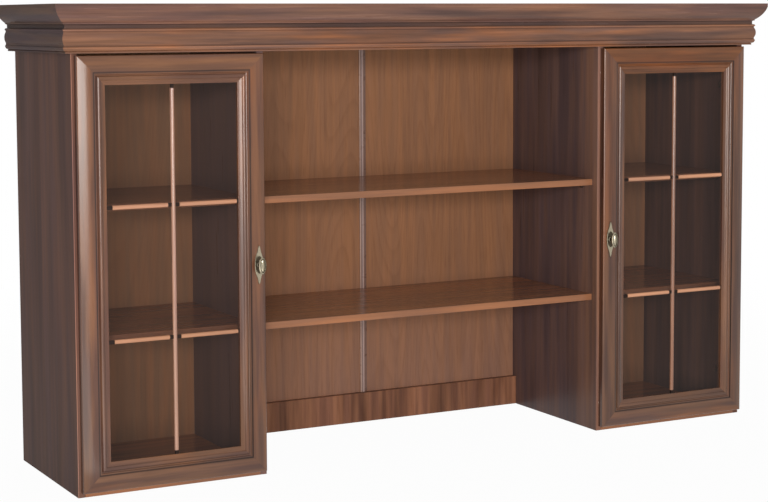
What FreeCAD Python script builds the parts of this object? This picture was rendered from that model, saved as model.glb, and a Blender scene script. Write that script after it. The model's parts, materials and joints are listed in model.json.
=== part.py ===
"""Hutch for a sideboard: two glazed towers with an open, shelved bay between them, under a cornice.

Millimetres. +Z up, +X to the right as seen from the front, the front faces -Y.
Origin: middle of the outline at the bottom.
"""
import FreeCAD, Part
import math
import os

V = FreeCAD.Vector

# ---------------------------------------------------------------- driving dimensions
# carcass
carcass_width = 1810.0      # over the two towers' outer faces
carcass_depth = 400.0       # front edge to back face
side_height = 967.0         # the four upright panels
tower_width = 450.0         # over a tower's two uprights
board = 16.0                # foil-wrapped board
edge_round = 1.2            # front edges of uprights and shelves
top_thickness = 16.0
back_thickness = 3.0        # hardboard
back_lap = 8.0              # how far a back panel laps an upright
back_play = 0.5             # round each back panel
back_inset = 1.2            # back panels in front of the uprights' rear edges
rail_height = 75.0          # closes the open bay at the back, at the bottom
rail_thickness = 16.0

# shelves
shelf_thickness = 16.0
upper_shelf_top = 636.0
lower_shelf_top = 346.0
shelf_setback = 22.0        # the bay's shelves, behind the uprights' front edges
tower_shelf_setback = 34.0
shelf_play = 0.5            # each end
shelf_back_gap = 2.0        # in front of the back panel
pin_radius = 2.45
pin_hole_radius = 2.5
pin_hole_depth = 9.0
pin_seat_out = 8.0          # the seat that carries the shelf
pin_seat_width = 10.0
pin_seat_height = 9.0
pin_seat_top = 2.5          # seat's flat top above the peg's axis
pin_inset = 45.0            # from a shelf's front and back edges

# joiner between the bay's two back panels
joiner_width = 18.0
joiner_web = 1.4
joiner_ridge = 0.8
joiner_ridge_width = 3.0

# cornice: a frieze below, a crown on top, mitred at the front corners
frieze_height = 53.0
frieze_projection = 21.5    # of its flat face
frieze_bead = 2.0           # how far its beads stand out
frieze_foot = 16.0          # projection of its underside
crown_height = 53.0
crown_projection = 46.0
crown_foot = 22.5
neck_projection = 18.0      # of the recess between frieze and crown
neck_height = 9.0
crown_fillet = 8.0          # square edge on top of the crown
batten_thickness = 16.0
batten_height = 70.0

# doors
door_inset = 6.5            # from a tower's faces to the door's edges
door_gap = 2.0              # door's back to the uprights' front edges
door_thickness = 20.0
door_bottom = 11.5
door_top_gap = 4.5          # under the frieze
frame_width = 64.0
edge_height = 13.0          # the frame's thickness at its outer edge
ease_width = 27.0           # width of the eased outer curve
ease_corner = 3.0
land_step = 1.6             # step down from the flat land
quirk_in = 27.5             # the step, measured from the sight edge
bead_in = 20.0              # the bead's outer foot, from the sight edge
bead_width = 10.0
bead_height = 3.4
bead_foot = 15.8            # height of the bead's feet
lip_width = 3.5
lip_height = 13.8
rebate_depth = 9.0          # from the door's back
rebate_width = 10.0
glass_thickness = 4.0
glass_play = 2.0
retainer_width = 8.0
bar_width = 9.5
bar_height = 6.5
clip_length = 9.0
clip_left = 13.0            # the cross bars sit a little to the right in their clips,
clip_right = 4.5            # so the left-hand end clips show more than the right-hand ones
clip_width = 8.0
clip_height = 4.5
upper_bar = 633.0           # centre heights of the cross bars
lower_bar = 339.0

# knobs
knob_in = 18.0              # knob's axis from the door's free edge
plate_height = 89.0
plate_width = 21.0
plate_thickness = 2.2
plate_bevel = 0.9
plate_dish = 0.9
plate_rim = 2.6
plate_boss_radius = 5.8
plate_boss_height = 1.6     # above the dish's floor
post_radius = 3.4
post_flare = 1.5
knob_height = 38.0
knob_width = 18.0
knob_stand = 22.5           # top of the knob above the frame's face
knob_depth = 6.6
knob_ease = 1.8
knob_rim = 2.7
knob_dish = 2.0
knob_groove = 1.2           # round the dome
knob_dome = 2.9             # above the dish's floor
oval_edges = 28             # short straight edges in an oval
screw_radius = 2.0
screw_play = 0.2
screw_bite = 7.0            # into the knob's post
screw_head_radius = 4.0
screw_head_height = 2.2

# concealed hinges
hinge_in = 100.0            # hinge centres from the door's top and bottom edges
cup_radius = 17.5
cup_edge = 5.0              # door's edge to the cup's bore
cup_depth = 11.5
cup_wall = 1.0
cup_play = 0.1
flange_thickness = 1.0
flange_radius = 20.0
ear_reach = 26.0
ear_radius = 5.5
arm_pin_in = 13.5           # arm's pin from the door's outer edge
arm_pin_ahead = 1.0         # arm's pin in front of the door's back face
arm_pin_radius = 1.5
arm_pin_play = 0.05
arm_nose = 3.1
arm_height = 14.0
cheek = 1.5
arm_length = 58.0           # behind the uprights' front edges
arm_thickness = 9.0
plate_lift = 3.0            # mounting plate between upright and arm
mount_length = 34.0
mount_height = 52.0
mount_set_back = 20.0
link_length = 22.0
link_angle = 14.0           # from the door's back face, with the door shut
link_thickness = 1.4
link_width = 8.0
link_eye = 2.5
link_roll = 1.8

# soft stops
bumper_radius = 4.0
bumper_play = 0.3
bumper_in = 4.5             # from the door's free edge
bumper_height_in = 60.0

# ---------------------------------------------------------------- derived positions
half = carcass_width / 2
bay_half = half - tower_width
front = -(carcass_depth - crown_projection) / 2     # Y of the uprights' front edges
back = front + carcass_depth
back_rear = back - back_inset
back_face = back_rear - back_thickness
top_z = side_height + top_thickness
crown_z = side_height + frieze_height
door_back = front - door_gap
door_z0 = door_bottom
door_z1 = side_height - door_top_gap
door_width = tower_width - 2 * door_inset
glass_front = door_back - rebate_depth
sight_w = door_width - 2 * frame_width


# ---------------------------------------------------------------- helpers
def block(x0, x1, y0, y1, z0, z1):
    lo = V(min(x0, x1), min(y0, y1), min(z0, z1))
    return Part.makeBox(abs(x1 - x0), abs(y1 - y0), abs(z1 - z0), lo)


def rod(centre, axis, radius, length):
    return Part.makeCylinder(radius, length, centre, axis)


def face_of(start, steps, place):
    """A face from 2-D steps: (a, b) is a line, ((a, b), (a, b)) an arc through its first point."""
    edges = []
    here = place(*start)
    for step in steps:
        if isinstance(step[0], tuple):
            via, end = place(*step[0]), place(*step[1])
            edges.append(Part.Arc(here, via, end).toShape())
        else:
            end = place(*step)
            edges.append(Part.makeLine(here, end))
        here = end
    return Part.Face(Part.Wire(edges))


def polygon(points, place):
    return face_of(points[0], list(points[1:]) + [points[0]], place)


def oval(half_height, half_width, y):
    """An upright oval of oval_edges short edges round the knob's axis, at depth y."""
    turns = [2 * math.pi * i / oval_edges for i in range(oval_edges)]
    points = [V(knob_x + half_width * math.cos(t), y, knob_z + half_height * math.sin(t)) for t in turns]
    return Part.makePolygon(points + points[:1])


def oval_slab(half_height, half_width, y, depth):
    return Part.Face(oval(half_height, half_width, y)).extrude(V(0, depth, 0))


def rim_edges(solid, y):
    """The edges of a solid that lie in the plane at depth y."""
    return [e for e in solid.Edges if abs(e.BoundBox.YMin - y) < 0.01 and abs(e.BoundBox.YMax - y) < 0.01]


def tiers(*outlines):
    """A solid through outlines of the same number of edges, straight between them."""
    return Part.makeLoft(list(outlines), True, True)


def export(name, *solids):
    shape = solids[0] if len(solids) == 1 else Part.makeCompound(list(solids))
    shape.exportStep("parts/" + name + ".step")


def mirror_x(shape):
    return shape.mirror(V(0, 0, 0), V(1, 0, 0))


def ease_front(panel, y, across):
    """Round a board's two long front edges; across is the axis they run along."""
    edges = [e for e in rim_edges(panel, y)
             if abs((e.Vertexes[0].Point - e.Vertexes[-1].Point).normalize().dot(across)) > 0.99]
    return panel.makeFillet(edge_round, edges)


os.makedirs("parts", exist_ok=True)
for old in os.listdir("parts"):
    os.remove("parts/" + old)


# ---------------------------------------------------------------- uprights, with their pin holes
shelf_back = back_face - shelf_back_gap
pin_depths = {
    "bay": (front + shelf_setback + pin_inset, shelf_back - pin_inset),
    "tower": (front + tower_shelf_setback + pin_inset, shelf_back - pin_inset),
}
pin_heights = [z - shelf_thickness - pin_seat_top for z in (upper_shelf_top, lower_shelf_top)]


def pin_holes(face_x, into, which):
    """Blind holes for the shelf pins in the face at face_x; into is +1 or -1 along X."""
    return [rod(V(face_x, y, z), V(into, 0, 0), pin_hole_radius, pin_hole_depth)
            for y in pin_depths[which] for z in pin_heights]


def shelf_pins(face_x, out, which):
    """Pegs with a flat seat, standing out of the face at face_x along out (+1 or -1)."""
    pins = []
    for y in pin_depths[which]:
        for z in pin_heights:
            peg = rod(V(face_x, y, z), V(-out, 0, 0), pin_radius, pin_hole_depth - 0.5)
            seat = block(face_x, face_x + out * pin_seat_out, y - pin_seat_width / 2, y + pin_seat_width / 2,
                         z + pin_seat_top - pin_seat_height, z + pin_seat_top)
            low = [e for e in seat.Edges
                   if abs(e.CenterOfMass.x - (face_x + out * pin_seat_out)) < 0.01
                   and abs(e.CenterOfMass.z - (z + pin_seat_top - pin_seat_height)) < 0.01]
            seat = seat.makeChamfer(min(pin_seat_out, pin_seat_height) * 0.6, low)
            pins.append(peg.fuse(seat).removeSplitter())
    return pins


outer = ease_front(block(-half, -half + board, front, back, 0, side_height), front, V(0, 0, 1))
outer = outer.cut(block(-half + board - back_lap, -half + board, back_face, back, 0, side_height))
for hole in pin_holes(-half + board, -1, "tower"):
    outer = outer.cut(hole)
inner = ease_front(block(-bay_half - board, -bay_half, front, back_face, 0, side_height), front, V(0, 0, 1))
for hole in pin_holes(-bay_half - board, 1, "tower") + pin_holes(-bay_half, -1, "bay"):
    inner = inner.cut(hole)
export("left_outer_side", outer)
export("left_inner_side", inner)
export("right_inner_side", mirror_x(inner))
export("right_outer_side", mirror_x(outer))

# ---------------------------------------------------------------- boards, backs, rail and joiner
tower_in0, tower_in1 = -half + board, -bay_half - board
bottom = block(tower_in0, tower_in1, front, back_face, 0, board)
export("left_bottom_panel", bottom)
export("right_bottom_panel", mirror_x(bottom))
export("top_panel", block(-half, half, front, back, side_height, top_z))

tower_back = block(tower_in0 - back_lap + back_play, tower_in1 + back_lap - back_play / 2,
                   back_face, back_rear, 0, side_height - back_play)
export("left_back_panel", tower_back)
export("right_back_panel", mirror_x(tower_back))
bay_back = block(-bay_half - back_lap + back_play / 2, -joiner_web / 2, back_face, back_rear,
                 0, side_height - back_play)
export("centre_back_left", bay_back)
export("centre_back_right", mirror_x(bay_back))
export("back_rail", block(-bay_half, bay_half, back_face - rail_thickness, back_face, 0, rail_height))

jw, jr = joiner_width / 2, joiner_ridge_width
joiner_top = side_height - back_play
joiner = block(-jw, jw, back_face - back_inset, back_face, rail_height, joiner_top)
joiner = joiner.fuse(block(-joiner_web / 2, joiner_web / 2, back_face, back_rear, rail_height, joiner_top))
joiner = joiner.fuse(block(-jw, jw, back_rear, back, rail_height, joiner_top))
for x in (-jw, -jr / 2, jw - jr):
    joiner = joiner.fuse(block(x, x + jr, back_face - back_inset - joiner_ridge,
                               back_face - back_inset, rail_height, joiner_top))
export("back_joiner_strip", joiner.removeSplitter())


# ---------------------------------------------------------------- shelves and their pins
def shelf(x0, x1, setback, top):
    y = front + setback
    panel = block(x0 + shelf_play, x1 - shelf_play, y, shelf_back, top - shelf_thickness, top)
    return ease_front(panel, y, V(1, 0, 0))


for level, top in (("upper", upper_shelf_top), ("lower", lower_shelf_top)):
    bay = shelf(-bay_half, bay_half, shelf_setback, top)
    tower = shelf(tower_in0, tower_in1, tower_shelf_setback, top)
    export("centre_shelf_" + level, bay)
    export("left_shelf_" + level, tower)
    export("right_shelf_" + level, mirror_x(tower))

tower_pins = shelf_pins(tower_in0, 1, "tower") + shelf_pins(tower_in1, -1, "tower")
bay_pins = shelf_pins(-bay_half, 1, "bay")
left_pins = tower_pins + bay_pins
export("shelf_pins", *(left_pins + [mirror_x(pin) for pin in left_pins]))


# ---------------------------------------------------------------- cornice
def frieze_profile(place):
    """Out from the carcass (a) and up from the uprights' tops (b)."""
    p, n, h = frieze_projection, frieze_bead, frieze_height
    steps = [
        (frieze_foot + 1.0, 0),
        (frieze_foot + 1.0, 2.8),
        (frieze_foot, 4.0),
        (frieze_foot + 1.2, 4.6),
        ((p - 0.7, 6.0), (p + n * 0.6, 9.5)),
        ((p + n, 11.5), (p + n * 0.6, 13.5)),
        (p, 14.5),
        (p, 19),
        ((p + n * 1.7, h * 0.6), (p, h - 9)),
        (p, h - 6),
        ((p + n, h - 3.2), (p, h - 0.6)),
        (p - 0.6, h),
        (0, h),
        (0, 0),
    ]
    return face_of((0, 0), steps, place)


def crown_profile(place):
    """Out from the carcass (a) and up from the frieze's top (b)."""
    p, h, foot, t = crown_projection, crown_height, crown_foot, neck_height
    top = h - crown_fillet
    rise = (foot + (p - foot) * 0.62, t + (top - t) * 0.47)
    steps = [
        (neck_projection, 0),
        (neck_projection, t - 2.5),
        ((neck_projection + 0.9, t - 0.7), (foot - 1.2, t)),
        (foot, t),
        (foot, t + 2.5),
        (rise, (p, top)),
        (p, h),
        (0, h),
        (0, 0),
    ]
    return face_of((0, 0), steps, place)


def moulding_front(profile, z0):
    """A length along the front, mitred at both ends."""
    reach = crown_projection + 20
    bar = profile(lambda a, b: V(-half - reach, front - a, z0 + b)).extrude(V(2 * (half + reach), 0, 0))
    plan = polygon([(-half, 0), (-half - reach, -reach), (half + reach, -reach), (half, 0)],
                   lambda x, y: V(x, front + y, z0 - 10)).extrude(V(0, 0, 200))
    return bar.common(plan)


def moulding_left(profile, z0):
    """A return along the left side, mitred at the front, square at the back."""
    reach = crown_projection + 20
    bar = profile(lambda a, b: V(-half - a, back, z0 + b)).extrude(V(0, front - reach - back, 0))
    plan = polygon([(-half, front), (-half - reach, front - reach), (-half - reach, back), (-half, back)],
                   lambda x, y: V(x, y, z0 - 10)).extrude(V(0, 0, 200))
    return bar.common(plan)


for name, profile, z0 in (("frieze", frieze_profile, side_height), ("crown", crown_profile, crown_z)):
    side = moulding_left(profile, z0)
    export(name + "_front", moulding_front(profile, z0))
    export(name + "_left", side)
    export(name + "_right", mirror_x(side))

bt = batten_thickness
side_batten = block(-half, -half + bt, front + bt, back - bt, top_z, top_z + batten_height)
export("cornice_battens", block(-half, half, front, front + bt, top_z, top_z + batten_height),
       side_batten, mirror_x(side_batten))


# ---------------------------------------------------------------- doors
door_x0 = -half + door_inset                # left door's outer, hinged edge
door_x1 = door_x0 + door_width              # its free edge


def frame_profile(place):
    """In from the door's edge (a) and out from its back face (b)."""
    w, t = frame_width, door_thickness
    quirk, bead = w - quirk_in, w - bead_in
    groove = bead - 2.0
    steps = [
        (0, edge_height),
        ((ease_corner * 0.28, edge_height + 2.3), (ease_corner, edge_height + 3.5)),
        ((ease_width * 0.48, t - 0.95), (ease_width, t)),
        (quirk, t),
        (quirk, t - land_step),
        (groove - 1.2, t - land_step),
        ((groove, bead_foot + 0.8), (bead, bead_foot)),
        ((bead + bead_width / 2, bead_foot + bead_height), (bead + bead_width, bead_foot)),
        ((w - lip_width - 3.2, lip_height + 0.55), (w - lip_width, lip_height)),
        (w, lip_height - 0.5),
        (w, rebate_depth),
        (w - rebate_width, rebate_depth),
        (w - rebate_width, 0),
        (0, 0),
    ]
    return face_of((0, 0), steps, place)


def mitred(bar, corners):
    """Keep the part of a frame member inside a trapezium in the door's plane."""
    plan = polygon(corners, lambda x, z: V(x, door_back + 5, z)).extrude(V(0, -door_thickness - 10, 0))
    return bar.common(plan)


def left_door_members():
    x0, x1, z0, z1, w = door_x0, door_x1, door_z0, door_z1, frame_width
    up, along = V(0, 0, z1 - z0), V(x1 - x0, 0, 0)
    hinge_stile = frame_profile(lambda a, b: V(x0 + a, door_back - b, z0)).extrude(up)
    knob_stile = frame_profile(lambda a, b: V(x1 - a, door_back - b, z0)).extrude(up)
    bottom_rail = frame_profile(lambda a, b: V(x0, door_back - b, z0 + a)).extrude(along)
    top_rail = frame_profile(lambda a, b: V(x0, door_back - b, z1 - a)).extrude(along)
    return {
        "hinge_stile": mitred(hinge_stile, [(x0, z0), (x0 + w, z0 + w), (x0 + w, z1 - w), (x0, z1)]),
        "knob_stile": mitred(knob_stile, [(x1, z0), (x1 - w, z0 + w), (x1 - w, z1 - w), (x1, z1)]),
        "bottom_rail": mitred(bottom_rail, [(x0, z0), (x0 + w, z0 + w), (x1 - w, z0 + w), (x1, z0)]),
        "top_rail": mitred(top_rail, [(x0, z1), (x0 + w, z1 - w), (x1 - w, z1 - w), (x1, z1)]),
    }


def hinge_cup_bores():
    x = door_x0 + cup_edge + cup_radius
    return [rod(V(x, door_back, z), V(0, -1, 0), cup_radius + cup_play, cup_depth + cup_play)
            for z in hinge_heights]


hinge_heights = (door_z0 + hinge_in, door_z1 - hinge_in)
knob_x = door_x1 - knob_in
knob_z = (door_z0 + door_z1) / 2
face_y = door_back - door_thickness
members = left_door_members()
for bore in hinge_cup_bores():
    members["hinge_stile"] = members["hinge_stile"].cut(bore)
members["knob_stile"] = members["knob_stile"].cut(
    rod(V(knob_x, door_back + 1, knob_z), V(0, -1, 0), screw_radius + screw_play, door_thickness + 2))

# glass, in the rebate against the lip, held by four strips
edge = frame_width - rebate_width + glass_play
glass = block(door_x0 + edge, door_x1 - edge, glass_front, glass_front + glass_thickness,
              door_z0 + edge, door_z1 - edge)
r0 = frame_width - rebate_width
ry0, ry1 = glass_front + glass_thickness, door_back
rx0, rx1, rz0, rz1 = door_x0 + r0, door_x1 - r0, door_z0 + r0, door_z1 - r0
retainers = [
    block(rx0, rx0 + retainer_width, ry0, ry1, rz0, rz1),
    block(rx1 - retainer_width, rx1, ry0, ry1, rz0, rz1),
    block(rx0 + retainer_width, rx1 - retainer_width, ry0, ry1, rz0, rz0 + retainer_width),
    block(rx0 + retainer_width, rx1 - retainer_width, ry0, ry1, rz1 - retainer_width, rz1),
]


# glazing bars on the glass: one upright, four half-length cross bars, each end in a clip
def bar_section(place):
    w, h = bar_width / 2, bar_height
    return face_of((-w, 0), [(-w, h * 0.45), ((0, h), (w, h * 0.45)), (w, 0), (-w, 0)], place)


sight_x0, sight_x1 = door_x0 + frame_width, door_x1 - frame_width
sight_z0, sight_z1 = door_z0 + frame_width, door_z1 - frame_width
door_mid = (door_x0 + door_x1) / 2
cw = clip_width / 2
clip_front = glass_front - clip_height


def glazing(hinge_end, knob_end):
    """The upright bar, the cross bars and the clips, with the length of the cross bars' end clips."""
    upright = bar_section(lambda a, b: V(door_mid + a, glass_front - b, sight_z0 + clip_length))
    upright = upright.extrude(V(0, 0, sight_z1 - sight_z0 - 2 * clip_length))
    clips = [block(door_mid - cw, door_mid + cw, clip_front, glass_front, z, z + clip_length)
             for z in (sight_z0, sight_z1 - clip_length)]
    bars = []
    inner = bar_width / 2
    for z in (upper_bar, lower_bar):
        for x0, x1, clip0, clip1 in ((sight_x0, door_mid - inner, hinge_end, clip_length),
                                     (door_mid + inner, sight_x1, clip_length, knob_end)):
            bar = bar_section(lambda a, b: V(x0 + clip0, glass_front - b, z + a))
            bars.append(bar.extrude(V(x1 - clip1 - x0 - clip0, 0, 0)))
            for c0, c1 in ((x0, x0 + clip0), (x1 - clip1, x1)):
                clips.append(block(c0, c1, clip_front, glass_front, z - cw, z + cw))
    return [upright], bars, clips


left_glazing = glazing(clip_left, clip_right)
right_glazing = glazing(clip_right, clip_left)      # mirrored with the rest of its door


# ---------------------------------------------------------------- knob and its plate
def plate_outline(inset, y):
    """A pointed oval with ogee tips, at depth y."""
    w, h = plate_width / 2 - inset, plate_height / 2 - inset
    quarter = [(0, 1), (0.17, 0.93), (0.30, 0.80), (0.47, 0.63), (0.72, 0.48), (0.93, 0.27), (1, 0)]
    points = []
    for sx, sz in ((1, 1), (1, -1), (-1, -1), (-1, 1)):
        spline = Part.BSplineCurve()
        spline.interpolate([V(knob_x + sx * a * w, y, knob_z + sz * b * h) for a, b in quarter])
        steps = spline.discretize(Number=len(quarter) + 3)
        points += steps[:-1] if sx * sz > 0 else steps[:0:-1]
    return Part.makePolygon(points + points[:1])


def knob_plate():
    """A bevelled plate with a dished middle and a boss for the post."""
    y = face_y
    front_y = y - plate_thickness
    plate = tiers(plate_outline(0, y), plate_outline(0, front_y + plate_bevel),
                  plate_outline(plate_bevel, front_y))
    floor = front_y + plate_dish
    dish = oval_slab(knob_height / 2 + 1.0, plate_width / 2 - plate_rim, floor, -plate_thickness)
    boss = tiers(oval(plate_boss_radius, plate_boss_radius, floor),
                 oval(plate_boss_radius - 1.2, plate_boss_radius - 1.2, floor - plate_boss_height))
    plate = plate.cut(dish).fuse(boss).removeSplitter()
    return plate.cut(rod(V(knob_x, y + 1, knob_z), V(0, -1, 0), screw_radius + screw_play, 10))


def knob():
    """An oval head with a rim round a groove and a dome, on a waisted post."""
    h, w = knob_height / 2, knob_width / 2
    crest = face_y - knob_stand
    root = crest + knob_depth
    head = tiers(oval(h - knob_ease, w - knob_ease, crest), oval(h, w, crest + knob_ease),
                 oval(h, w, root - knob_ease), oval(h - knob_ease, w - knob_ease, root))
    floor = crest + knob_dish
    dish = oval_slab(h - knob_rim, w - knob_rim, floor, -knob_dish - 1)
    inset = knob_rim + knob_groove
    dome = tiers(*[oval((h - inset) * tall, (w - inset) * wide, floor - knob_dome * out)
                   for tall, wide, out in ((1.0, 1.0, 0), (0.93, 0.86, 0.6), (0.7, 0.55, 1.0))])
    y0 = face_y - plate_thickness + plate_dish - plate_boss_height
    stem = tiers(*[oval(post_radius + post_flare * flare, post_radius + post_flare * flare,
                        y0 - (y0 - root) * share)
                   for flare, share in ((1.0, 0), (0.3, 0.2), (0, 0.5), (0.3, 0.8), (1.0, 1.0))])
    whole = head.cut(dish).fuse([dome, stem]).removeSplitter()
    return whole.cut(rod(V(knob_x, y0 + 1, knob_z), V(0, -1, 0), screw_radius + 0.05, screw_bite + 1.2))


def knob_screw():
    reach = face_y - plate_thickness + plate_dish - plate_boss_height - screw_bite
    shank = rod(V(knob_x, door_back, knob_z), V(0, -1, 0), screw_radius, door_back - reach)
    head = Part.makeCone(screw_head_radius, screw_head_radius * 0.7, screw_head_height,
                         V(knob_x, door_back, knob_z), V(0, 1, 0))
    return shank.fuse(head).removeSplitter()


# ---------------------------------------------------------------- concealed hinges
cup_x = door_x0 + cup_edge + cup_radius
pin_x, pin_y = door_x0 + arm_pin_in, door_back - arm_pin_ahead
upright_face = -half + board


def hinge_cup(z):
    """A pressed bowl with a flange and two screw ears."""
    out = V(0, -1, 0)
    bowl = rod(V(cup_x, door_back, z), out, cup_radius, cup_depth)
    flange = rod(V(cup_x, door_back, z), V(0, 1, 0), flange_radius, flange_thickness)
    ear_x, flange_back = cup_x + 4.0, door_back + flange_thickness
    for dz in (-ear_reach, ear_reach):
        ear = rod(V(ear_x, door_back, z + dz), V(0, 1, 0), ear_radius, flange_thickness)
        web = block(ear_x - ear_radius, ear_x + ear_radius, door_back, flange_back, z, z + dz)
        flange = flange.fuse(ear).fuse(web)
    inside = rod(V(cup_x, door_back + 5, z), out, cup_radius - cup_wall, cup_depth + 5 - cup_wall)
    return bowl.fuse(flange).removeSplitter().cut(inside)


def hinge_arm(z):
    """Two cheeks and a web, with the pin for the link between the cheeks' noses."""
    x0, x1 = upright_face + plate_lift, upright_face + plate_lift + arm_thickness
    y1, y_web = front + arm_length, pin_y + arm_nose + 8.0
    side = polygon([(x0, y1), (x1, y1), (x1, y_web), (pin_x + arm_nose, pin_y), (pin_x - arm_nose, pin_y),
                    (x0, pin_y + arm_nose + 4.0)], lambda x, y: V(x, y, 0)).extrude(V(0, 0, cheek))
    side = side.fuse(rod(V(pin_x, pin_y, 0), V(0, 0, 1), arm_nose, cheek)).removeSplitter()
    low, high = z - arm_height / 2, z + arm_height / 2
    arm = side.translated(V(0, 0, low)).fuse(side.translated(V(0, 0, high - cheek)))
    arm = arm.fuse(block(x1 - cheek, x1, y_web + 2.0, y1, low, high))
    return arm.fuse(rod(V(pin_x, pin_y, low), V(0, 0, 1), arm_pin_radius, arm_height)).removeSplitter()


def hinge_mount(z):
    """Mounting plate on the upright, a wing plate with a ridge that the arm clips over."""
    x0, x1 = upright_face, upright_face + plate_lift
    y0 = front + mount_set_back
    plate = block(x0, x1, y0, y0 + mount_length, z - 9, z + 9)
    y_mid = y0 + mount_length / 2
    plate = plate.fuse(block(x0, x1, y_mid - 7, y_mid + 7, z - mount_height / 2, z + mount_height / 2))
    ridge, x2 = arm_height / 2 - cheek - 0.3, x1 + arm_thickness - cheek - 0.3
    plate = plate.fuse(block(x1, x2, y0, y0 + mount_length, z - ridge, z + ridge))
    return plate.removeSplitter()


def hinge_link(z):
    """A thin link: an eye on the arm's pin and a rolled end that floats in the cup."""
    turn = math.radians(link_angle)
    ux, uy = math.cos(turn), -math.sin(turn)
    end = V(pin_x + link_length * ux, pin_y + link_length * uy, 0)
    low = z - link_width / 2
    eye = rod(V(pin_x, pin_y, low), V(0, 0, 1), link_eye, link_width)
    roll = rod(V(end.x, end.y, low), V(0, 0, 1), link_roll, link_width)
    nx, ny = -uy * link_thickness / 2, ux * link_thickness / 2
    strap = polygon([(pin_x + nx, pin_y + ny), (end.x + nx, end.y + ny), (end.x - nx, end.y - ny),
                     (pin_x - nx, pin_y - ny)], lambda x, y: V(x, y, low)).extrude(V(0, 0, link_width))
    link = eye.fuse(strap).fuse(roll).removeSplitter()
    return link.cut(rod(V(pin_x, pin_y, low - 1), V(0, 0, 1), arm_pin_radius + arm_pin_play, link_width + 2))


cups = [hinge_cup(z) for z in hinge_heights]
arms = [hinge_arm(z) for z in hinge_heights]
mounts = [hinge_mount(z) for z in hinge_heights]
links = [hinge_link(z) for z in hinge_heights]

left_pieces = {
    "door_hinge_stile": [members["hinge_stile"]],
    "door_knob_stile": [members["knob_stile"]],
    "door_top_rail": [members["top_rail"]],
    "door_bottom_rail": [members["bottom_rail"]],
    "door_glass": [glass],
    "door_glass_strips": retainers,
    "knob_plate": [knob_plate()],
    "knob": [knob()],
    "knob_screw": [knob_screw()],
    "hinge_cups": cups,
    "hinge_links": links,
}
right_pieces = dict(left_pieces)
for i, name in enumerate(("door_upright_bar", "door_cross_bars", "door_bar_clips")):
    left_pieces[name], right_pieces[name] = left_glazing[i], right_glazing[i]
for name in left_pieces:
    export("left_" + name, *left_pieces[name])
    export("right_" + name, *[mirror_x(solid) for solid in right_pieces[name]])
export("hinge_arms", *(arms + [mirror_x(arm) for arm in arms]))
export("hinge_mounts", *(mounts + [mirror_x(mount) for mount in mounts]))

# soft stops on the inner uprights' front edges, behind the doors' free edges
stops = [rod(V(door_x1 - bumper_in, front, z), V(0, -1, 0), bumper_radius, door_gap - bumper_play)
         for z in (door_z0 + bumper_height_in, door_z1 - bumper_height_in)]
export("door_bumpers", *(stops + [mirror_x(stop) for stop in stops]))
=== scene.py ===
import json
import math
from collections import namedtuple

import bmesh
import bpy
from mathutils import Matrix, Vector


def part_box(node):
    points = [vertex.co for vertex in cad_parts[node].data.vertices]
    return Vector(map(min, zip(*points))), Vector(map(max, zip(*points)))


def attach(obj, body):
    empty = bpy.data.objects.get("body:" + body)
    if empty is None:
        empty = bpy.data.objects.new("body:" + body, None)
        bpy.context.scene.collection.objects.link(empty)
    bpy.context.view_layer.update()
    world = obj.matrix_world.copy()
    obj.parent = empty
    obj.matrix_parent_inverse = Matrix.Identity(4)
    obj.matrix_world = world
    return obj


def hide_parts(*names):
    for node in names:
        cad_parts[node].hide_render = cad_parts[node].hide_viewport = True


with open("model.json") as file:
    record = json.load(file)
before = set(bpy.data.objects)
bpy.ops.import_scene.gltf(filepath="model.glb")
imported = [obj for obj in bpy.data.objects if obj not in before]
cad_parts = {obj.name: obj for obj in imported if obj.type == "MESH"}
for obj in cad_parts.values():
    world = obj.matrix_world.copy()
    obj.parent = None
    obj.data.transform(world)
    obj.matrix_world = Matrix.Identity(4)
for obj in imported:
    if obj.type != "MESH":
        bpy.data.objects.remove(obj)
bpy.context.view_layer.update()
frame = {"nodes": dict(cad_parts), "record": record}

NODES = frame["nodes"]


# ---------------------------------------------------------------- finish kit

def dye(red, green, blue):
    """A colour written as a paint chart gives it, 0 to 255, for a shader."""
    def linear(part):
        part /= 255
        return part / 12.92 if part <= 0.04045 else ((part + 0.055) / 1.055) ** 2.4
    return linear(red), linear(green), linear(blue), 1.0


def new_finish(name):
    """An empty material and its node tree."""
    finish = bpy.data.materials.new(name)
    finish.use_nodes = True
    finish.node_tree.nodes.clear()
    return finish, finish.node_tree


def add(tree, kind, inputs=None, **settings):
    """A node of that kind, its settings made and its inputs joined or filled."""
    made = tree.nodes.new("ShaderNode" + kind)
    for key, value in settings.items():
        setattr(made, key, value)
    for key, value in (inputs or {}).items():
        if isinstance(value, bpy.types.NodeSocket):
            tree.links.new(value, made.inputs[key])
        else:
            made.inputs[key].default_value = value
    return made


def reckon(tree, operation, a, b=0.0):
    return add(tree, "Math", {0: a, 1: b}, operation=operation).outputs[0]


def times(tree, a, b):
    return reckon(tree, "MULTIPLY", a, b)


def less(tree, a, b):
    return reckon(tree, "SUBTRACT", a, b)


def spread(tree, value, low, high, to_low, to_high):
    """The value's run from low to high, laid over the run from to_low to to_high."""
    return add(tree, "MapRange", {0: value, 1: low, 2: high, 3: to_low, 4: to_high}).outputs[0]


def mixed(tree, share, first, second):
    """That share of the second colour over the first."""
    return add(tree, "Mix", {0: share, 6: first, 7: second}, data_type="RGBA").outputs[2]


def stained_and_lit(tree, colour, stain, share=None):
    """The colour multiplied by a tint, where the share lets it through: real stain and grain, and
    in the zones painted light and shade.
    """
    deep = add(tree, "Mix", {0: 1.0, 6: colour, 7: stain}, data_type="RGBA",
               blend_type="MULTIPLY").outputs[2]
    return deep if share is None else mixed(tree, share, colour, deep)


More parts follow.
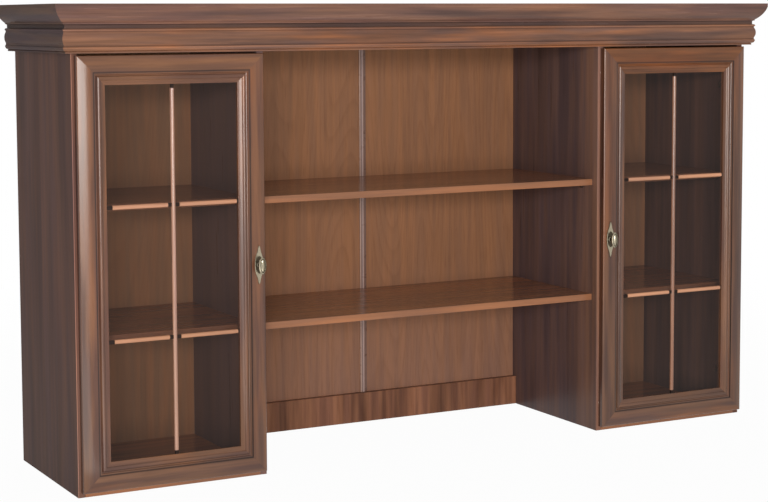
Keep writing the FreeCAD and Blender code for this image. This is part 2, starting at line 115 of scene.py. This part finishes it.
def steps(tree, value, *stops):
    """A ramp through the stops, each a place from 0 to 1 and a grey or a colour."""
    ramp = add(tree, "ValToRGB", {0: value})
    band = ramp.color_ramp
    while len(band.elements) < len(stops):
        band.elements.new(0.5)
    for element, (place, colour) in zip(band.elements, stops):
        element.position = place
        element.color = colour if hasattr(colour, "__len__") else (colour, colour, colour, 1)
    return ramp.outputs[0]


def noise(tree, vector, scale, detail=2.0, rough=0.5, bend=0.0):
    return add(tree, "TexNoise", {"Vector": vector, "Scale": scale, "Detail": detail,
                                  "Roughness": rough, "Distortion": bend}).outputs[0]


def own_place(tree):
    """Where a point lies in its object's own coordinates."""
    return add(tree, "TexCoord").outputs["Object"]


def bumped(tree, strength, depth, height):
    return add(tree, "Bump", {"Strength": strength, "Distance": depth,
                              "Height": height}).outputs[0]


def put_out(tree, shader):
    add(tree, "OutputMaterial", {0: shader.outputs[0]})


# -------------------------------------------------------------------- walnut

# how many times longer than wide each pattern is along the grain
GOLD_RUN, FIGURE_RUN, BAND_RUN, STREAK_RUN = 7.0, 9.0, 16.0, 26.0
# how fine each pattern is across the grain, in cells to the metre
GOLD_CELLS, BAND_CELLS, TONE_CELLS, STREAK_CELLS, FIBRE_CELLS = 13.0, 17.0, 44.0, 70.0, 420.0
# offsets that keep the bands and the gold from following the other patterns
BAND_OFFSET, GOLD_OFFSET = 3.1, 7.7
# what the golden bands, the rings and the pores do to the colour
GOLD_STAIN = (1.55, 1.2, 0.72, 1)
RING_STAIN = (0.55, 0.47, 0.42, 1)
PORE_STAIN = (0.5, 0.42, 0.38, 1)
# one ring of the figure: a slow rise to the dark late wood and a sharp end
RING_STEPS = ((0.0, 0.0), (0.55, 0.2), (0.88, 1.0), (1.0, 0.1))
GRAIN_BUMP, GRAIN_DEPTH = 0.06, 0.0003
PLAIN = (1.0, 1.0, 1.0)

# An axis, a place on it (for X on both sides of the middle), how far from there the tint is
# full, how far out it has gone, and the tint, a colour to multiply by. Lengths in metres.
# The bare rears' tint is their real colour; every other zone paints light and shade.
Zone = namedtuple("Zone", "axis middle full gone stain")


def along_grain(tree, grain, stretch, offset=0.0):
    """The object's own coordinates drawn out along the grain."""
    scale = [1.0, 1.0, 1.0]
    scale["XYZ".index(grain)] = 1 / stretch
    return add(tree, "Mapping", {"Vector": own_place(tree), "Scale": scale,
                                 "Location": (offset, offset, offset)}).outputs[0]


def zone_share(tree, places, zone):
    """1 inside the zone, falling to 0 where it has gone."""
    along = places["XYZ".index(zone.axis)]
    if zone.axis == "X":
        along = reckon(tree, "ABSOLUTE", along)
    away = reckon(tree, "ABSOLUTE", less(tree, along, zone.middle))
    return spread(tree, away, zone.full, zone.gone, 1.0, 0.0)


def walnut(name, grain, cool, warm, gold=0.0, bands=0.5, streaks=0.25, figure=0.2,
           figure_size=6.0, rings=14.0, pores=0.25, gloss=0.3, shine=0.2, glow=PLAIN, zones=()):
    """Walnut foil under satin lacquer: cool and warm bands, a few golden ones, fine streaks,
    the rings of a flat-sawn board, fibre and pores, and zones of painted light and shade
    (besides the real colour of bare rears)."""
    finish, tree = new_finish(name)
    broad = along_grain(tree, grain, FIGURE_RUN)
    fine = along_grain(tree, grain, STREAK_RUN)
    long = along_grain(tree, grain, BAND_RUN, BAND_OFFSET)
    band = noise(tree, long, BAND_CELLS, 2.0, 0.55)
    streak = noise(tree, fine, STREAK_CELLS, 3.0, 0.6)
    tone = noise(tree, long, TONE_CELLS, 2.0, 0.55)
    fibre = noise(tree, fine, FIBRE_CELLS, 2.0, 0.6)
    field = noise(tree, broad, figure_size, 1.2, 0.42, 0.25)

    colour = mixed(tree, spread(tree, tone, 0.38, 0.62, 0, 1), cool, warm)
    if gold:
        patch = noise(tree, along_grain(tree, grain, GOLD_RUN, GOLD_OFFSET), GOLD_CELLS, 3.0, 0.6)
        golden = times(tree, spread(tree, patch, 0.52, 0.66, 0, 1), gold)
        colour = stained_and_lit(tree, colour, GOLD_STAIN, golden)
    band_light = spread(tree, band, 0.3, 0.7, 1 - bands / 2, 1 + bands / 2)
    streak_light = times(tree, spread(tree, streak, 0.32, 0.68, -0.5, 0.5), streaks)
    light = reckon(tree, "ADD", band_light, streak_light)
    grey = add(tree, "CombineColor", {0: light, 1: light, 2: light}).outputs[0]
    colour = stained_and_lit(tree, colour, grey)
    ring = steps(tree, reckon(tree, "FRACT", times(tree, field, rings)), *RING_STEPS)
    colour = stained_and_lit(tree, colour, RING_STAIN, times(tree, ring, figure))
    pits = spread(tree, fibre, 0.3, 0.46, 1.0, 0.0)
    colour = stained_and_lit(tree, colour, PORE_STAIN, times(tree, pits, pores))
    places = add(tree, "SeparateXYZ", {0: own_place(tree)}).outputs
    # the zones paint light and shade, except the bare rears, whose paler colour is real
    for zone in zones:
        colour = stained_and_lit(tree, colour, (*zone.stain, 1), zone_share(tree, places, zone))

    height = less(tree, times(tree, fibre, 0.5), pits)
    put_out(tree, add(tree, "BsdfPrincipled", {
        "Base Color": colour,
        "Roughness": spread(tree, streak, 0.3, 0.7, gloss - 0.03, gloss + 0.05),
        "Specular IOR Level": shine,
        "Specular Tint": (*glow, 1),
        "Normal": bumped(tree, GRAIN_BUMP, GRAIN_DEPTH, height)}))
    return finish


# ---------------------------------------------------- plastic, metal and glass

SKIN_CELLS = 1400.0            # the fine skin of moulded plastic, in cells to the metre


def moulded(name, colour, second, rough, shine=0.5):
    """Moulded plastic: a faint cloud in the colour and a fine skin."""
    finish, tree = new_finish(name)
    place = own_place(tree)
    cloud = noise(tree, place, 160.0, 3.0)
    skin = noise(tree, place, SKIN_CELLS)
    put_out(tree, add(tree, "BsdfPrincipled", {
        "Base Color": mixed(tree, cloud, colour, second),
        "Roughness": spread(tree, cloud, 0.3, 0.7, rough - 0.05, rough + 0.05),
        "Specular IOR Level": shine,
        "Normal": bumped(tree, 0.1, 0.0002, skin)}))
    return finish


def metal(name, colour, hollow, rough, tarnish_and_shade=None):
    """Polished metal with a faint cloud; the last argument, where given, darkens the hollows with
    real tarnish and painted shade.
    """
    finish, tree = new_finish(name)
    place = own_place(tree)
    patch = noise(tree, place, 140.0, 3.0, 0.6)
    marks = noise(tree, place, 1600.0)
    dark = spread(tree, patch, 0.35, 0.7, 0.0, 0.3)
    if tarnish_and_shade:
        dark = reckon(tree, "MAXIMUM", dark, tarnish_and_shade(tree, place))
    put_out(tree, add(tree, "BsdfPrincipled", {
        "Base Color": mixed(tree, dark, colour, hollow),
        "Metallic": 1.0,
        "Roughness": spread(tree, dark, 0.0, 1.0, rough, rough + 0.3),
        "Normal": bumped(tree, 0.05, 0.0001, marks)}))
    return finish


def ribs_lit_and_shaded(name, node, rough):
    """The joiner's two ribs painted pale as highlights, the web between them in its own darker
    colour, and a painted shadow along its right side.
    """
    finish, tree = new_finish(name)
    low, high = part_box(node)
    place = own_place(tree)
    across = add(tree, "SeparateXYZ", {0: place}).outputs[0]
    cloud = noise(tree, place, 60.0, 3.0)
    share = spread(tree, across, low[0], high[0], 0.0, 1.0)
    colour = steps(tree, share,
                   (0.0, dye(132, 100, 84)), (0.1, dye(184, 156, 142)),
                   (0.19, dye(116, 86, 73)), (0.38, dye(124, 102, 96)),
                   (0.53, dye(176, 150, 142)), (0.64, dye(112, 84, 72)),
                   (0.84, dye(96, 66, 54)), (1.0, dye(88, 60, 48)))
    soil = spread(tree, cloud, 0.35, 0.65, 0.0, 0.25)
    put_out(tree, add(tree, "BsdfPrincipled", {
        "Base Color": mixed(tree, soil, colour, dye(120, 92, 80)),
        "Roughness": spread(tree, cloud, 0.3, 0.7, rough - 0.05, rough + 0.05),
        "Normal": bumped(tree, 0.1, 0.0002, noise(tree, place, SKIN_CELLS))}))
    return finish


knob_low, knob_high = (Vector(corner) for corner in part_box("right_knob"))
KNOB = knob_low.lerp(knob_high, 0.5)
KNOB_REACH = (knob_high - knob_low) / 2
KNOB_CREST = knob_low.y
KNOB_DEPTH = 0.025             # from the knob's crest to behind its plate, in metres
# how dark the tarnish and painted shade are from the crest back: dome, groove, flank, post, plate
# and dish
TARNISH_AND_SHADE_STEPS = ((0.0, 0.0), (0.055, 0.0), (0.112, 1.0), (0.2, 0.9), (0.29, 0.25), (0.33, 1.0),
                 (0.8, 1.0), (0.822, 0.1), (0.856, 0.0), (0.88, 0.9), (0.9, 0.9), (0.93, 0.3))


def knob_tarnish_and_shade(tree, place):
    """The plate's dish, the post and the groove round the knob's dome, darkened by depth and
    place: partly the old silver's real tarnish, partly painted shade in the hollows and under the
    knob.
    """
    x, y, z = add(tree, "SeparateXYZ", {0: place}).outputs
    back = spread(tree, y, KNOB_CREST, KNOB_CREST + KNOB_DEPTH, 0.0, 1.0)
    depth = steps(tree, back, *TARNISH_AND_SHADE_STEPS)
    aside = less(tree, reckon(tree, "ABSOLUTE", x), KNOB.x)
    across = reckon(tree, "DIVIDE", aside, KNOB_REACH.x)
    up = reckon(tree, "DIVIDE", less(tree, z, KNOB.z), KNOB_REACH.z)
    rim = reckon(tree, "ADD", times(tree, across, across), times(tree, up, up))
    flank = times(tree, spread(tree, rim, 0.7, 0.8, 0.0, 1.0),
                  spread(tree, back, 0.28, 0.27, 0.0, 1.0))
    return times(tree, depth, less(tree, 1.0, flank))


PAINTED_REFLECTION_INDEX = 1.32             # the refractive index that gives the painted reflection of the room its strength
PAINTED_ROOM_REFLECTION = (0.7, 0.7, 0.7, 1)


def clear_glass(name):
    """Float glass: it lets lamps through, bears a painted reflection of the pale room that glows
    for the camera only, and mirrors at a steep slant."""
    finish, tree = new_finish(name)
    film = noise(tree, own_place(tree), 9.0, 3.0)
    through = add(tree, "BsdfTransparent", {
        0: mixed(tree, film, dye(247, 244, 241), dye(250, 247, 245))})
    front = less(tree, 1.0, add(tree, "NewGeometry").outputs["Backfacing"])
    slant = times(tree, add(tree, "Fresnel", {"IOR": PAINTED_REFLECTION_INDEX}).outputs[0], front)
    # painted reflection: an emission that only the camera sees, standing in for the pale room
    # mirrored in the pane
    camera_reflection_share = times(tree, slant, add(tree, "LightPath").outputs["Is Camera Ray"])
    painted_reflection = add(tree, "Emission", {0: PAINTED_ROOM_REFLECTION, 1: camera_reflection_share})
    pane = add(tree, "AddShader", {0: through.outputs[0], 1: painted_reflection.outputs[0]})
    mirror = add(tree, "BsdfAnisotropic", {"Roughness": spread(tree, film, 0.3, 0.7, 0.02, 0.05)})
    put_out(tree, add(tree, "MixShader", {0: spread(tree, slant, 0.06, 0.5, 0.0, 0.5),
                                          1: pane.outputs[0], 2: mirror.outputs[0]}))
    return finish


# --------------------------------------------------------------------- zones

def painted_frieze_line(height, stain):
    """A fine painted line along the frieze: a painted highlight where it is pale, painted shade
    where it is dark.
    """
    return Zone("Z", height, 0.0008, 0.0020, stain)


def quirk_shade(axis, middle):
    """A dark line painted into a door's quirk: painted shade in the groove."""
    return Zone(axis, middle, 0.0010, 0.0026, (0.3, 0.25, 0.24))


def stile_edge(middle):
    """The shaded edge of a stile."""
    return Zone("X", middle, 0.0003, 0.0006, (0.5, 0.5, 0.6))


# how far from the middle a door's edges and quirks lie, and how high its rails' quirks
HINGE_EDGE, HINGE_QUIRK, KNOB_QUIRK, KNOB_EDGE = 0.8985, 0.8617, 0.4983, 0.4615
TOP_QUIRK, FOOT_QUIRK = 0.9257, 0.0483
# painted floor reflection: the stiles painted paler towards the floor, and the foot rails painted
# cooler
STILE_ZONES = (Zone("Z", 0.0, 0.1, 0.5, (1.05, 1.15, 1.22)),
               quirk_shade("X", HINGE_QUIRK), quirk_shade("X", KNOB_QUIRK),
               stile_edge(HINGE_EDGE), stile_edge(KNOB_EDGE))
RAIL_ZONES = (Zone("Z", 0.0, 0.05, 0.1, (0.88, 0.98, 1.2)),
              quirk_shade("Z", TOP_QUIRK), quirk_shade("Z", FOOT_QUIRK))
# painted shade in the hollow line between the frieze and the crown
NECK_SHADE = Zone("Z", 1.0245, 0.0045, 0.0058, (0.42, 0.38, 0.38))
# painted highlights on the frieze's lower and upper arrises, each beside painted shade in a
# hollow
LOW_ARRIS, LOW_HOLLOW, HIGH_HOLLOW, HIGH_ARRIS = 0.9790, 0.9825, 1.0130, 1.0165
FRIEZE_HIGHLIGHTS_AND_SHADE = (Zone("Z", LOW_ARRIS, 0.0010, 0.0024, (1.35, 1.35, 1.35)),
                painted_frieze_line(LOW_HOLLOW, (0.6, 0.55, 0.52)),
                painted_frieze_line(HIGH_ARRIS, (1.3, 1.3, 1.3)),
                painted_frieze_line(HIGH_HOLLOW, (0.65, 0.6, 0.58)))
# painted light: the cut edge along the uprights' fronts painted paler
FRONT_EDGE_LIGHT = Zone("Y", -0.1900, 0.0125, 0.0134, (2.0, 1.8, 1.65))
# a painted highlight down the outer uprights' front corners
ARRIS_HIGHLIGHT = Zone("X", 0.9041, 0.0004, 0.0008, (2.6, 2.6, 2.6))
# painted floor light: the outer uprights and the bay's backs painted paler towards the floor
OUTER_FOOT_FLOOR_LIGHT = Zone("Z", 0.0, 0.05, 0.4, (1.12, 1.25, 1.32))
BACK_FOOT_FLOOR_LIGHT = Zone("Z", 0.0, 0.1, 0.42, (0.98, 1.05, 1.3))
# the front of the far tower's inner upright, which the light reaches
LIT_FRONT = Zone("Y", -0.177, 0.045, 0.1, (1.75, 1.6, 1.3))
# painted light on the tops of the bay's shelves, which are painted paler and cooler
UPPER_SHELF_TOP, LOWER_SHELF_TOP = 0.6364, 0.3464
SHELF_TOP_LIGHT = (Zone("Z", UPPER_SHELF_TOP, 0.0006, 0.0010, (1.12, 1.18, 1.28)),
              Zone("Z", LOWER_SHELF_TOP, 0.0006, 0.0010, (1.12, 1.2, 1.32)))
# the noses of the tower shelves, in the shade of the doors
SHELF_NOSE = Zone("Y", -0.1430, 0.0008, 0.0014, (0.5, 0.5, 0.5))


def bare_rear(stain):
    """The bare rear face of a hardboard back."""
    return Zone("Y", 0.2220, 0.0004, 0.0010, stain)


BAY_REAR, TOWER_REAR = bare_rear((1.2, 1.38, 1.5)), bare_rear((1.66, 1.62, 1.7))


# ------------------------------------------------------------------ finishes

COOL, WARM = dye(84, 54, 41), dye(110, 72, 47)
AMBER = (1.0, 0.92, 0.86)      # the lacquer on the doors and the cornice
UPRIGHT = {"grain": "Z", "figure": 0.12, "pores": 0.15}
TOWER_BACK = {"grain": "Z", "bands": 0.08, "streaks": 0.12, "figure": 0.14, "figure_size": 5.0,
              "rings": 30.0, "pores": 0.1, "gloss": 0.42, "shine": 0.1, "zones": (TOWER_REAR,)}
UPRIGHT_BAR = {"grain": "Z", "figure": 0.1, "gloss": 0.18, "shine": 0.6}

FINISH = {
    "upright_board": walnut(
        "walnut_upright", cool=dye(94, 73, 70), warm=dye(108, 81, 70), **UPRIGHT,
        shine=0.15, zones=(FRONT_EDGE_LIGHT,)),
    "level_board": walnut(
        "walnut_level", "X", dye(137, 94, 69), dye(157, 104, 71), bands=0.2, streaks=0.15,
        figure=0.1, pores=0.15, gloss=0.16, shine=0.22, zones=SHELF_TOP_LIGHT),
    "back_board": walnut(
        "walnut_back", "Z", dye(130, 92, 68), dye(140, 97, 68), bands=0.05, streaks=0.12,
        figure=0.19, figure_size=5.0, rings=38.0, pores=0.3, gloss=0.42, shine=0.12,
        zones=(BACK_FOOT_FLOOR_LIGHT, BAY_REAR)),
    "moulding_front": walnut(
        "walnut_moulding_front", "X", dye(95, 67, 57), dye(121, 81, 58), gold=0.85,
        bands=0.4, streaks=0.6, gloss=0.2, shine=0.42, glow=AMBER, zones=FRIEZE_HIGHLIGHTS_AND_SHADE),
    # painted shade: the cornice's ends, the front mouldings' walnut painted darker for the dimmer
    # light they get
    "moulding_side": walnut(
        "walnut_moulding_side", "Y", dye(70, 53, 53), dye(87, 65, 54), bands=0.4,
        shine=0.01, zones=(NECK_SHADE,)),
    "stile": walnut(
        "walnut_stile", "Z", dye(79, 49, 38), dye(104, 66, 43), gold=0.6,
        streaks=0.4, gloss=0.2, shine=0.58, glow=AMBER, zones=STILE_ZONES),
    "rail": walnut(
        "walnut_rail", "X", COOL, WARM, gold=0.8,
        streaks=0.5, gloss=0.2, shine=0.5, glow=AMBER, zones=RAIL_ZONES),
    "glass_strip": walnut("walnut_strip", "Z", COOL, WARM, figure=0.1),
    # painted highlight: the glazing bars, the frames' walnut painted paler for the light they
    # catch
    "bar_upright": walnut(
        "walnut_bar_upright", cool=dye(148, 110, 94), warm=dye(170, 127, 103), **UPRIGHT_BAR),
    "bar_cross": walnut(
        "walnut_bar_cross", "X", dye(182, 131, 103), dye(204, 146, 110),
        figure=0.1, gloss=0.2, shine=0.4),
}

# pieces of the same walnut that show another side of it, and copies of it painted lighter or
# darker for the light they stand in: painted light and shade
PIECE_FINISH = {
    # painted shade: the outer and inner uprights, copies of one walnut, each painted darker for
    # the light it gets
    "left_outer_side": walnut(
        "walnut_outer_side", cool=dye(81, 59, 54), warm=dye(89, 63, 53), **UPRIGHT,
        bands=0.4, gloss=0.35, shine=0.01, zones=(FRONT_EDGE_LIGHT, ARRIS_HIGHLIGHT, OUTER_FOOT_FLOOR_LIGHT)),
    "left_inner_side": walnut(
        "walnut_left_inner", cool=dye(88, 69, 68), warm=dye(97, 74, 68), **UPRIGHT,
        bands=0.25, streaks=0.15, shine=0.15, zones=(FRONT_EDGE_LIGHT,)),
    "right_inner_side": walnut(
        "walnut_right_inner", cool=dye(80, 63, 63), warm=dye(92, 69, 62), **UPRIGHT,
        shine=0.15, zones=(FRONT_EDGE_LIGHT, LIT_FRONT)),
    "back_rail": walnut(
        "walnut_rail_board", "Z", dye(110, 74, 58), dye(132, 90, 67), bands=0.6, streaks=0.4,
        figure=0.35, figure_size=9.0, rings=7.0, shine=0.1),
    "crown_front": walnut(
        "walnut_crown", "X", dye(91, 64, 57), dye(114, 80, 63), gold=0.3, bands=0.4,
        streaks=0.55, gloss=0.24, shine=0.42, glow=AMBER, zones=(NECK_SHADE,)),
    # painted light and shade: the two tower backs, copies of one walnut, painted to the light
    # inside each tower
    "left_back_panel": walnut(
        "walnut_tower_back", cool=dye(115, 86, 65), warm=dye(127, 90, 64), **TOWER_BACK),
    "right_back_panel": walnut(
        "walnut_far_back", cool=dye(123, 93, 73), warm=dye(135, 97, 71), **TOWER_BACK),
    "left_shelf_lower": walnut(
        "walnut_tower_shelf", "X", dye(134, 91, 70), dye(152, 101, 72), bands=0.15,
        streaks=0.12, figure=0.08, pores=0.1, gloss=0.2, shine=0.18, zones=(SHELF_NOSE,)),
    "shelf_pins": metal("dark_steel", dye(96, 80, 70), dye(60, 50, 44), 0.45),
    "top_panel": walnut(
        "walnut_top", "X", dye(104, 74, 60), dye(120, 82, 62), bands=0.3, streaks=0.2,
        figure=0.1, gloss=0.5, shine=0.02),
    # painted highlight: the far door's upright bar, painted less pale than the near door's for
    # the light it catches
    "right_door_upright_bar": walnut(
        "walnut_far_bar", cool=dye(126, 88, 70), warm=dye(148, 103, 78), **UPRIGHT_BAR),
    "right_door_top_rail": walnut(
        "walnut_golden_rail", "X", dye(102, 60, 33), dye(124, 74, 39), gold=0.7,
        bands=0.4, streaks=0.5, gloss=0.2, shine=0.45, glow=AMBER, zones=RAIL_ZONES),
}
PIECE_FINISH["right_outer_side"] = PIECE_FINISH["left_outer_side"]
for other_shelf in ("left_shelf_upper", "right_shelf_lower", "right_shelf_upper"):
    PIECE_FINISH[other_shelf] = PIECE_FINISH["left_shelf_lower"]

FINISH["joiner"] = ribs_lit_and_shaded("plastic_joiner", "back_joiner_strip", 0.3)
FINISH["clip"] = moulded("plastic_clip", dye(34, 24, 20), dye(42, 30, 25), 0.4, 0.1)
FINISH["bumper"] = moulded("soft_bumper", dye(214, 208, 196), dye(204, 198, 186), 0.55)
FINISH["batten"] = moulded("bare_pine", dye(196, 162, 116), dye(180, 144, 98), 0.7, 0.2)
FINISH["old_silver"] = metal("old_silver", dye(170, 160, 138), dye(58, 50, 38), 0.24,
                             knob_tarnish_and_shade)
FINISH["steel"] = metal("nickel_steel", dye(196, 194, 190), dye(160, 158, 154), 0.28)
FINISH["glass"] = clear_glass("cabinet_glass")

slot_of = {part["node"]: part["material_slot"] for part in frame["record"]["subparts"]}

for name, piece in NODES.items():
    piece.data.materials.clear()
    piece.data.materials.append(PIECE_FINISH.get(name) or FINISH[slot_of[name]])


# --------------------------------------------------------------------- knobs

SAME_POINT = 1e-5              # metres
FLAT_ENOUGH = math.radians(0.5)
SHARP = math.radians(32)


def polished(node, body):
    """The node's own surface with its points joined, shaded round up to its real edges."""
    shape = bmesh.new()
    shape.from_mesh(NODES[node].data)
    bmesh.ops.remove_doubles(shape, verts=shape.verts, dist=SAME_POINT)
    bmesh.ops.dissolve_limit(shape, angle_limit=FLAT_ENOUGH, verts=shape.verts,
                             edges=shape.edges)
    for face in shape.faces:
        face.smooth = True
    for edge in shape.edges:
        edge.smooth = edge.calc_face_angle(0.0) < SHARP
    mesh = bpy.data.meshes.new(node + "_polished")
    shape.to_mesh(mesh)
    shape.free()
    mesh.materials.append(FINISH[slot_of[node]])
    piece = bpy.data.objects.new(node + "_polished", mesh)
    bpy.context.scene.collection.objects.link(piece)
    piece.modifiers.new("flats", "WEIGHTED_NORMAL").keep_sharp = True
    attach(piece, body)
    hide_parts(node)


for side in ("left", "right"):
    for part in ("knob", "knob_plate"):
        polished(f"{side}_{part}", f"{side}_door")


# --------------------------------------------------------------------- stage

WHITE = (1, 1, 1, 1)
FLOOR_RADIUS = 14.0
SHADOW_REACH, PLAIN_FROM = 1.2, 3.0      # metres from the middle of the floor
ROOM_LIGHT = 0.3


def white_seen(tree):
    """1 for what the camera sees, straight, mirrored or through glass; 0 for other light."""
    path = add(tree, "LightPath").outputs
    seen = reckon(tree, "MAXIMUM", path["Is Camera Ray"], path["Is Glossy Ray"])
    return reckon(tree, "MAXIMUM", seen, path["Is Transmission Ray"])


def lay_floor():
    """A matt floor that keeps the shadow and passes into plain white further out."""
    shape = bmesh.new()
    bmesh.ops.create_circle(shape, cap_ends=True, radius=FLOOR_RADIUS, segments=96)
    mesh = bpy.data.meshes.new("floor")
    shape.to_mesh(mesh)
    shape.free()
    floor = bpy.data.objects.new("floor", mesh)
    bpy.context.scene.collection.objects.link(floor)
    finish, tree = new_finish("pale_floor")
    away = add(tree, "VectorMath", {0: own_place(tree)}, operation="LENGTH").outputs["Value"]
    plain = spread(tree, away, SHADOW_REACH, PLAIN_FROM, 0.97, 1.0)
    matt = add(tree, "BsdfDiffuse", {0: (0.8, 0.8, 0.8, 1)})
    white = add(tree, "Emission", {0: WHITE, 1: 1.0})
    put_out(tree, add(tree, "MixShader", {0: times(tree, white_seen(tree), plain),
                                          1: matt.outputs[0], 2: white.outputs[0]}))
    mesh.materials.append(finish)


def light_world():
    world = bpy.data.worlds.new("studio")
    world.use_nodes = True
    tree = world.node_tree
    tree.nodes.clear()
    dim = add(tree, "Background", {0: WHITE, 1: ROOM_LIGHT})
    white = add(tree, "Background", {0: WHITE, 1: 1.0})
    both = add(tree, "MixShader", {0: white_seen(tree), 1: dim.outputs[0], 2: white.outputs[0]})
    add(tree, "OutputWorld", {0: both.outputs[0]})
    bpy.context.scene.world = world


def hang_lamp(name, place, aim, width, height, watts):
    """A flat lamp at that place, turned to its aim."""
    lamp = bpy.data.lights.new(name, "AREA")
    lamp.shape = "RECTANGLE"
    lamp.size, lamp.size_y = width, height
    lamp.energy = watts
    holder = bpy.data.objects.new(name, lamp)
    holder.location = place
    holder.rotation_euler = (Vector(aim) - Vector(place)).to_track_quat("-Z", "Y").to_euler()
    bpy.context.scene.collection.objects.link(holder)
    return holder


CAMERA_PLACE = (-2.17017, -3.97467, 1.04189)
CAMERA_TURN, CAMERA_TILT, CAMERA_LEAN = -28.0515, 4.8741, -0.2336      # degrees
FILM_WIDTH = 36.0                                                      # millimetres
# the picture's width, half its height, the lens's length and where its axis falls, in pixels
PICTURE_WIDTH, PICTURE_MIDDLE, LENS_LENGTH = 768, 251, 1846.2018
AXIS_ASIDE, AXIS_ROW = -0.5, 174.5


def set_camera():
    turn, tilt, lean = (math.radians(a) for a in (CAMERA_TURN, CAMERA_TILT, CAMERA_LEAN))
    ahead = Vector((-math.sin(turn) * math.cos(tilt), math.cos(turn) * math.cos(tilt),
                    -math.sin(tilt)))
    right = ahead.cross(Vector((0, 0, 1))).normalized()
    up = right.cross(ahead)
    across = right * math.cos(lean) + up * math.sin(lean)
    upward = up * math.cos(lean) - right * math.sin(lean)
    lens = bpy.data.cameras.new("camera")
    lens.sensor_width = FILM_WIDTH
    lens.lens = LENS_LENGTH * FILM_WIDTH / PICTURE_WIDTH
    lens.shift_x = AXIS_ASIDE / PICTURE_WIDTH
    lens.shift_y = (AXIS_ROW - PICTURE_MIDDLE) / PICTURE_WIDTH
    camera = bpy.data.objects.new("camera", lens)
    camera.matrix_world = Matrix.Translation(CAMERA_PLACE) @ Matrix(
        (across, upward, -ahead)).transposed().to_4x4()
    bpy.context.scene.collection.objects.link(camera)
    bpy.context.scene.camera = camera


lay_floor()
light_world()
hang_lamp("key", place=(-3.6, -6.8, 1.8), aim=(0, 0, 0.5),
          width=3.4, height=0.8, watts=270)
hang_lamp("low_box", place=(-2.2, -5.45, 0.62), aim=(-0.6, -0.2, 0.55),
          width=4.6, height=1.15, watts=147)
# light that a bright floor throws up, from a lamp that the camera doesn't see
floor_card = hang_lamp("floor_card", place=(-1.65, -1.1, 0.02), aim=(-1.65, -1.1, 1.0),
                       width=1.7, height=1.5, watts=12.5)
floor_card.visible_camera = False
hang_lamp("rear_fill", place=(2.6, 6.4, 2.4), aim=(0.3, 0.0, 0.5),
          width=3.0, height=1.6, watts=170)
set_camera()
bpy.context.scene.view_settings.view_transform = "Standard"
